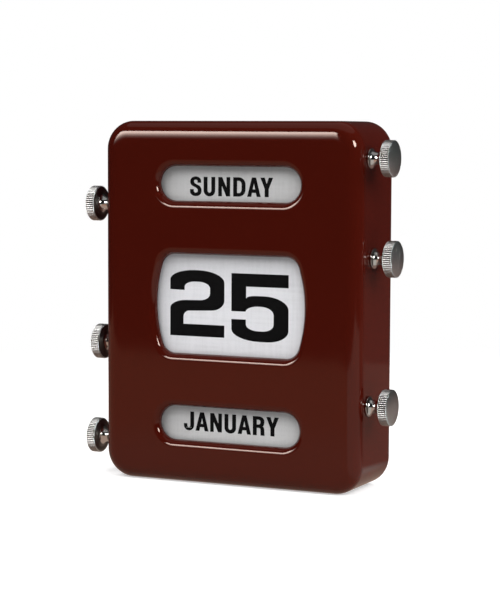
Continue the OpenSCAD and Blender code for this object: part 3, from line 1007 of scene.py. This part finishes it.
# Each lamp is (name, azimuth, elevation, width, height, radiance)
SOFT_BOXES = (
    ("high_left", -36, 46, 700, 600, 4.4),
    ("high_right", 48, 42, 700, 700, 3.4),
    ("side", 98, 30, 800, 800, 3.9),
    ("behind", 190, 35, 900, 700, 3.0),
)

# The floor lies lowest, under the ground and the mat that only mirrored rays see. It fades into
# the background between two distances, and its own glow makes up for what the lamps lack.
floor_r = 520.0
floor_z, ground_z, mat_z = -0.05, -0.03, -0.01
floor_fade = (250.0, 500.0)
floor_glow = 0.45

# The dark cloth round the calendar, and the light brown table that it stands on
curtain_r = 1250.0
curtain_low = -60.0
curtain_high = 1900.0
mat_half_w = 700.0
mat_front = -432.0
mat_back = 400.0


def toward(azimuth, elevation):
    """A direction from the calendar, with azimuth 0 in front of it and 90 at its right."""
    azimuth, elevation = math.radians(azimuth), math.radians(elevation)
    return Vector((math.sin(azimuth) * math.cos(elevation),
                   -math.cos(azimuth) * math.cos(elevation), math.sin(elevation)))


def face_calendar(item, way):
    """Puts an item that looks along its local -Z where it faces the middle of the calendar."""
    item.matrix_world = (Matrix.Translation((Vector((0, 0, middle_z)) + way * light_distance) * MM)
                         @ way.to_track_quat("Z", "Y").to_matrix().to_4x4())


def soft_box(name, way, width, height, radiance):
    """An area lamp that faces the calendar, and that no mirrored ray sees."""
    data = bpy.data.lights.new(name, "AREA")
    data.shape = "RECTANGLE"
    data.size, data.size_y = width * MM, height * MM
    data.energy = 4 * radiance * data.size * data.size_y
    lamp = link(bpy.data.objects.new(name, data))
    face_calendar(lamp, way)
    lamp.visible_camera = False
    lamp.visible_glossy = False


class Glow(Paint):
    """A material, or the world, without a Principled shader."""

    def __init__(self, owner):
        self.material = owner
        owner.use_nodes = True
        self.tree = owner.node_tree
        self.tree.nodes.clear()

    def background_rays(self):
        """1 for the rays that see the background: straight, mirrored or through glass."""
        path = self.node("LightPath").outputs
        seen = self.calculate("MAXIMUM", path["Is Camera Ray"], path["Is Glossy Ray"])
        return self.calculate("MAXIMUM", seen, path["Is Transmission Ray"])

    def finish(self, kind, shader):
        output = self.tree.nodes.new(kind)
        self.tree.links.new(shader, output.inputs["Surface"])


def make_world():
    """A white background that gives the calendar only a little light of its own."""
    world = bpy.data.worlds.new("studio")
    bpy.context.scene.world = world
    paint = Glow(world)
    seen = paint.calculate("MULTIPLY", paint.background_rays(), 1 - ambient)
    strength = paint.calculate("ADD", seen, ambient)
    shader = paint.node("Background", Color=grey(1), Strength=strength)
    paint.finish("ShaderNodeOutputWorld", shader.outputs["Background"])


def stage_mesh(name, rings, material):
    """A face inside one closed ring of points, or a wall from one ring to the next."""
    mesh = bpy.data.meshes.new(name)
    count = len(rings[0])
    points = [Vector(point) * MM for ring in rings for point in ring]
    if len(rings) == 1:
        faces = [tuple(range(count))]
    else:
        faces = [(row * count + k, row * count + (k + 1) % count,
                  (row + 1) * count + (k + 1) % count, (row + 1) * count + k)
                 for row in range(len(rings) - 1) for k in range(count)]
    mesh.from_pydata(points, [], faces)
    mesh.materials.append(material)
    made = link(bpy.data.objects.new(name, mesh))
    made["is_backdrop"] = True
    return made


def ring_at(radius, z, steps=96):
    """Points of a circle round the Z axis."""
    return [(radius * math.cos(2 * math.pi * k / steps),
             radius * math.sin(2 * math.pi * k / steps), z) for k in range(steps)]


def rectangle(left, front, right, back, z=0.0):
    return [(left, front, z), (right, front, z), (right, back, z), (left, back, z)]


def make_floor():
    """A pale floor under the calendar, which fades into the white background."""
    paint = Glow(bpy.data.materials.new("pale_floor"))
    diffuse = paint.node("BsdfDiffuse", Color=grey(0.8)).outputs["BSDF"]
    lift = paint.calculate("MULTIPLY", paint.background_rays(), floor_glow)
    glow = paint.node("Emission", Color=grey(1), Strength=lift).outputs["Emission"]
    both = paint.tree.nodes.new("ShaderNodeAddShader")
    paint.feed(both.inputs[0], diffuse)
    paint.feed(both.inputs[1], glow)
    clear = paint.node("BsdfTransparent").outputs["BSDF"]
    near, far = floor_fade
    mix = paint.tree.nodes.new("ShaderNodeMixShader")
    paint.feed(mix.inputs[0], paint.spread(paint.length(paint.where()), near * MM, far * MM))
    paint.feed(mix.inputs[1], both.outputs["Shader"])
    paint.feed(mix.inputs[2], clear)
    paint.finish("ShaderNodeOutputMaterial", mix.outputs["Shader"])
    stage_mesh("floor", [ring_at(floor_r, floor_z)], paint.material)


def glow_card(name, rings, colour):
    """A card that only mirrored rays see. Its colour may come from a function of its paint."""
    paint = Glow(bpy.data.materials.new(name))
    if callable(colour):
        colour = colour(paint)
    shader = paint.node("Emission", Color=colour, Strength=1.0)
    paint.finish("ShaderNodeOutputMaterial", shader.outputs["Emission"])
    paint.material.cycles.emission_sampling = "NONE"
    card = stage_mesh(name, rings, paint.material)
    for ray in ("camera", "diffuse", "shadow", "transmission", "volume_scatter"):
        setattr(card, f"visible_{ray}", False)
    return card


def front_to_back(front, back, start, end):
    """A colour that changes between two depths, from the front of the calendar to behind it."""
    def colour(paint):
        behind = paint.spread(paint.along("Y"), start * MM, end * MM)
        return paint.blend(behind, front, back)

    return colour


def mat_colour(paint):
    """Brown in front of the calendar, grey under the right knobs, and darker behind it."""
    near, outer = rgb(0.42, 0.31, 0.255), rgb(0.42, 0.255, 0.185)
    under_knobs, at_back = rgb(0.50, 0.47, 0.44), rgb(0.226, 0.15, 0.128)
    # Each share grows between two distances: from the middle, to the right, and to the back
    far = paint.spread(paint.length(paint.where()), 100 * MM, 220 * MM)
    right = paint.spread(paint.along("X"), 58 * MM, 66 * MM)
    behind = paint.spread(paint.along("Y"), 20 * MM, 60 * MM)
    beside = paint.blend(right, paint.blend(far, near, outer), under_knobs)
    return paint.blend(behind, beside, at_back)


def panel_card(name, way, width, height, radiance, fade):
    """An upright card that glows in mirrored rays. Its lower part fades by that share."""
    def colour(paint):
        low = -height / 2 * MM
        share = paint.spread(paint.along("Y"), low, low + fade * height * MM, radiance)
        return paint.node("CombineXYZ", X=share, Y=share, Z=share).outputs["Vector"]

    ring = rectangle(-width / 2, -height / 2, width / 2, height / 2)
    face_calendar(glow_card(name, [ring], colour), way)


def disc_card(name, way, radius, radiance):
    """A round card that glows in mirrored rays."""
    face_calendar(glow_card(name, [ring_at(radius, 0)], grey(radiance)), way)


def make_stage():
    """The floor, and what the glossy enamel and the nickel mirror."""
    make_floor()
    glow_card("dark_curtain", [ring_at(curtain_r, curtain_low), ring_at(curtain_r, curtain_high)],
              front_to_back(grey(0.015), grey(0.03), start=-300, end=300))
    glow_card("grey_ceiling", [ring_at(curtain_r, curtain_high)], grey(0.28))
    glow_card("dark_ground", [ring_at(curtain_r, ground_z)],
              front_to_back(grey(0.02), rgb(0.125, 0.072, 0.064), start=0, end=200))
    glow_card("table_mat", [rectangle(-mat_half_w, mat_front, mat_half_w, mat_back, mat_z)],
              mat_colour)
    panel_card("window_light", toward(-34.5, 18.6), width=725, height=520, radiance=16, fade=0.8)
    disc_card("round_light", toward(50, 22), radius=180, radiance=24)


make_world()
make_stage()
for lamp_name, azimuth, elevation, *shape in SOFT_BOXES:
    soft_box(lamp_name, toward(azimuth, elevation), *shape)


# ---------------------------------------------------------------- camera

camera_distance = 790.5
camera_azimuth = 25.08
camera_elevation = 4.92
camera_roll = 0.21
camera_aim = (2.17, 0.0, 73.92)
lens_px = 1954.52
picture_h_px = 600


def make_camera():
    """The camera, fitted to the outline of the calendar in the photograph."""
    back = toward(camera_azimuth, camera_elevation)
    data = bpy.data.cameras.new("camera")
    data.lens = lens_px / picture_h_px * data.sensor_width
    camera = link(bpy.data.objects.new("camera", data))
    turn = (-back).to_track_quat("-Z", "Y").to_matrix().to_4x4()
    roll = Matrix.Rotation(math.radians(camera_roll), 4, "Z")
    aim = Vector(camera_aim)
    camera.matrix_world = Matrix.Translation((aim + back * camera_distance) * MM) @ turn @ roll
    bpy.context.scene.camera = camera


make_camera()
bpy.context.scene.view_settings.view_transform = "Standard"

[[list(corner) for corner in corners] for corners in (cad_box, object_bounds())]
